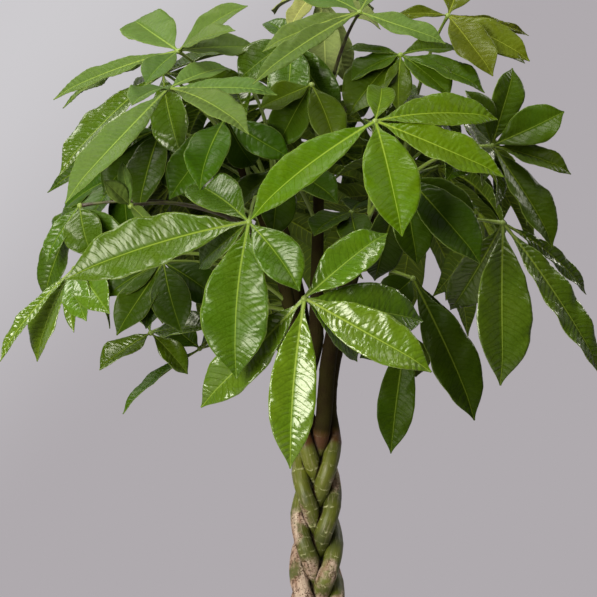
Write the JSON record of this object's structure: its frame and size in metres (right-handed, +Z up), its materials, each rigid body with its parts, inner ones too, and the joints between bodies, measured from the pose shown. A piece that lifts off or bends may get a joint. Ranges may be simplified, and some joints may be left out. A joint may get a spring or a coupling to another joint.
{
  "type": "potted money tree",
  "caption": "Indoor tree with a plaited trunk of slender stems, a round crown of palmate leaves and a plain tapered pot.",
  "frame": {"origin": "centre of the flat underside of the pot", "axes": "+Z up along the trunk; the side of the plant that the picture shows faces -Y"},
  "size_m": [0.6414, 0.5725, 1.0737],
  "materials": {
    "pot": "matte",
    "soil": "rough",
    "stem": "satin",
    "leaf": "gloss"
  },
  "bodies": {
    "root": {"leaf_01": "leaf", "leaf_02": "leaf", "leaf_03": "leaf", "leaf_04": "leaf", "leaf_05": "leaf", "leaf_06": "leaf", "leaf_07": "leaf", "leaf_08": "leaf", "leaf_09": "leaf", "leaf_10": "leaf", "leaf_11": "leaf", "leaf_12": "leaf", "leaf_13": "leaf", "leaf_14": "leaf", "leaf_15": "leaf", "leaf_16": "leaf", "leaf_17": "leaf", "leaf_18": "leaf", "leaf_19": "leaf", "leaf_20": "leaf", "leaf_21": "leaf", "leaf_22": "leaf", "leaf_23": "leaf", "leaf_24": "leaf", "leaf_25": "leaf", "leaf_26": "leaf", "leaf_27": "leaf", "leaf_28": "leaf", "leaf_29": "leaf", "leaf_30": "leaf", "leaf_31": "leaf", "leaf_32": "leaf", "leaf_33": "leaf", "leaf_34": "leaf", "leaf_35": "leaf", "leaf_36": "leaf", "leaf_37": "leaf", "leaf_38": "leaf", "leaf_39": "leaf", "leaf_40": "leaf", "leaf_41": "leaf", "leaf_42": "leaf", "leaf_43": "leaf", "pot": "pot", "soil": "soil", "stem_1": "stem", "stem_2": "stem", "stem_3": "stem", "stem_4": "stem", "stem_5": "stem"}
  },
  "joints": []
}
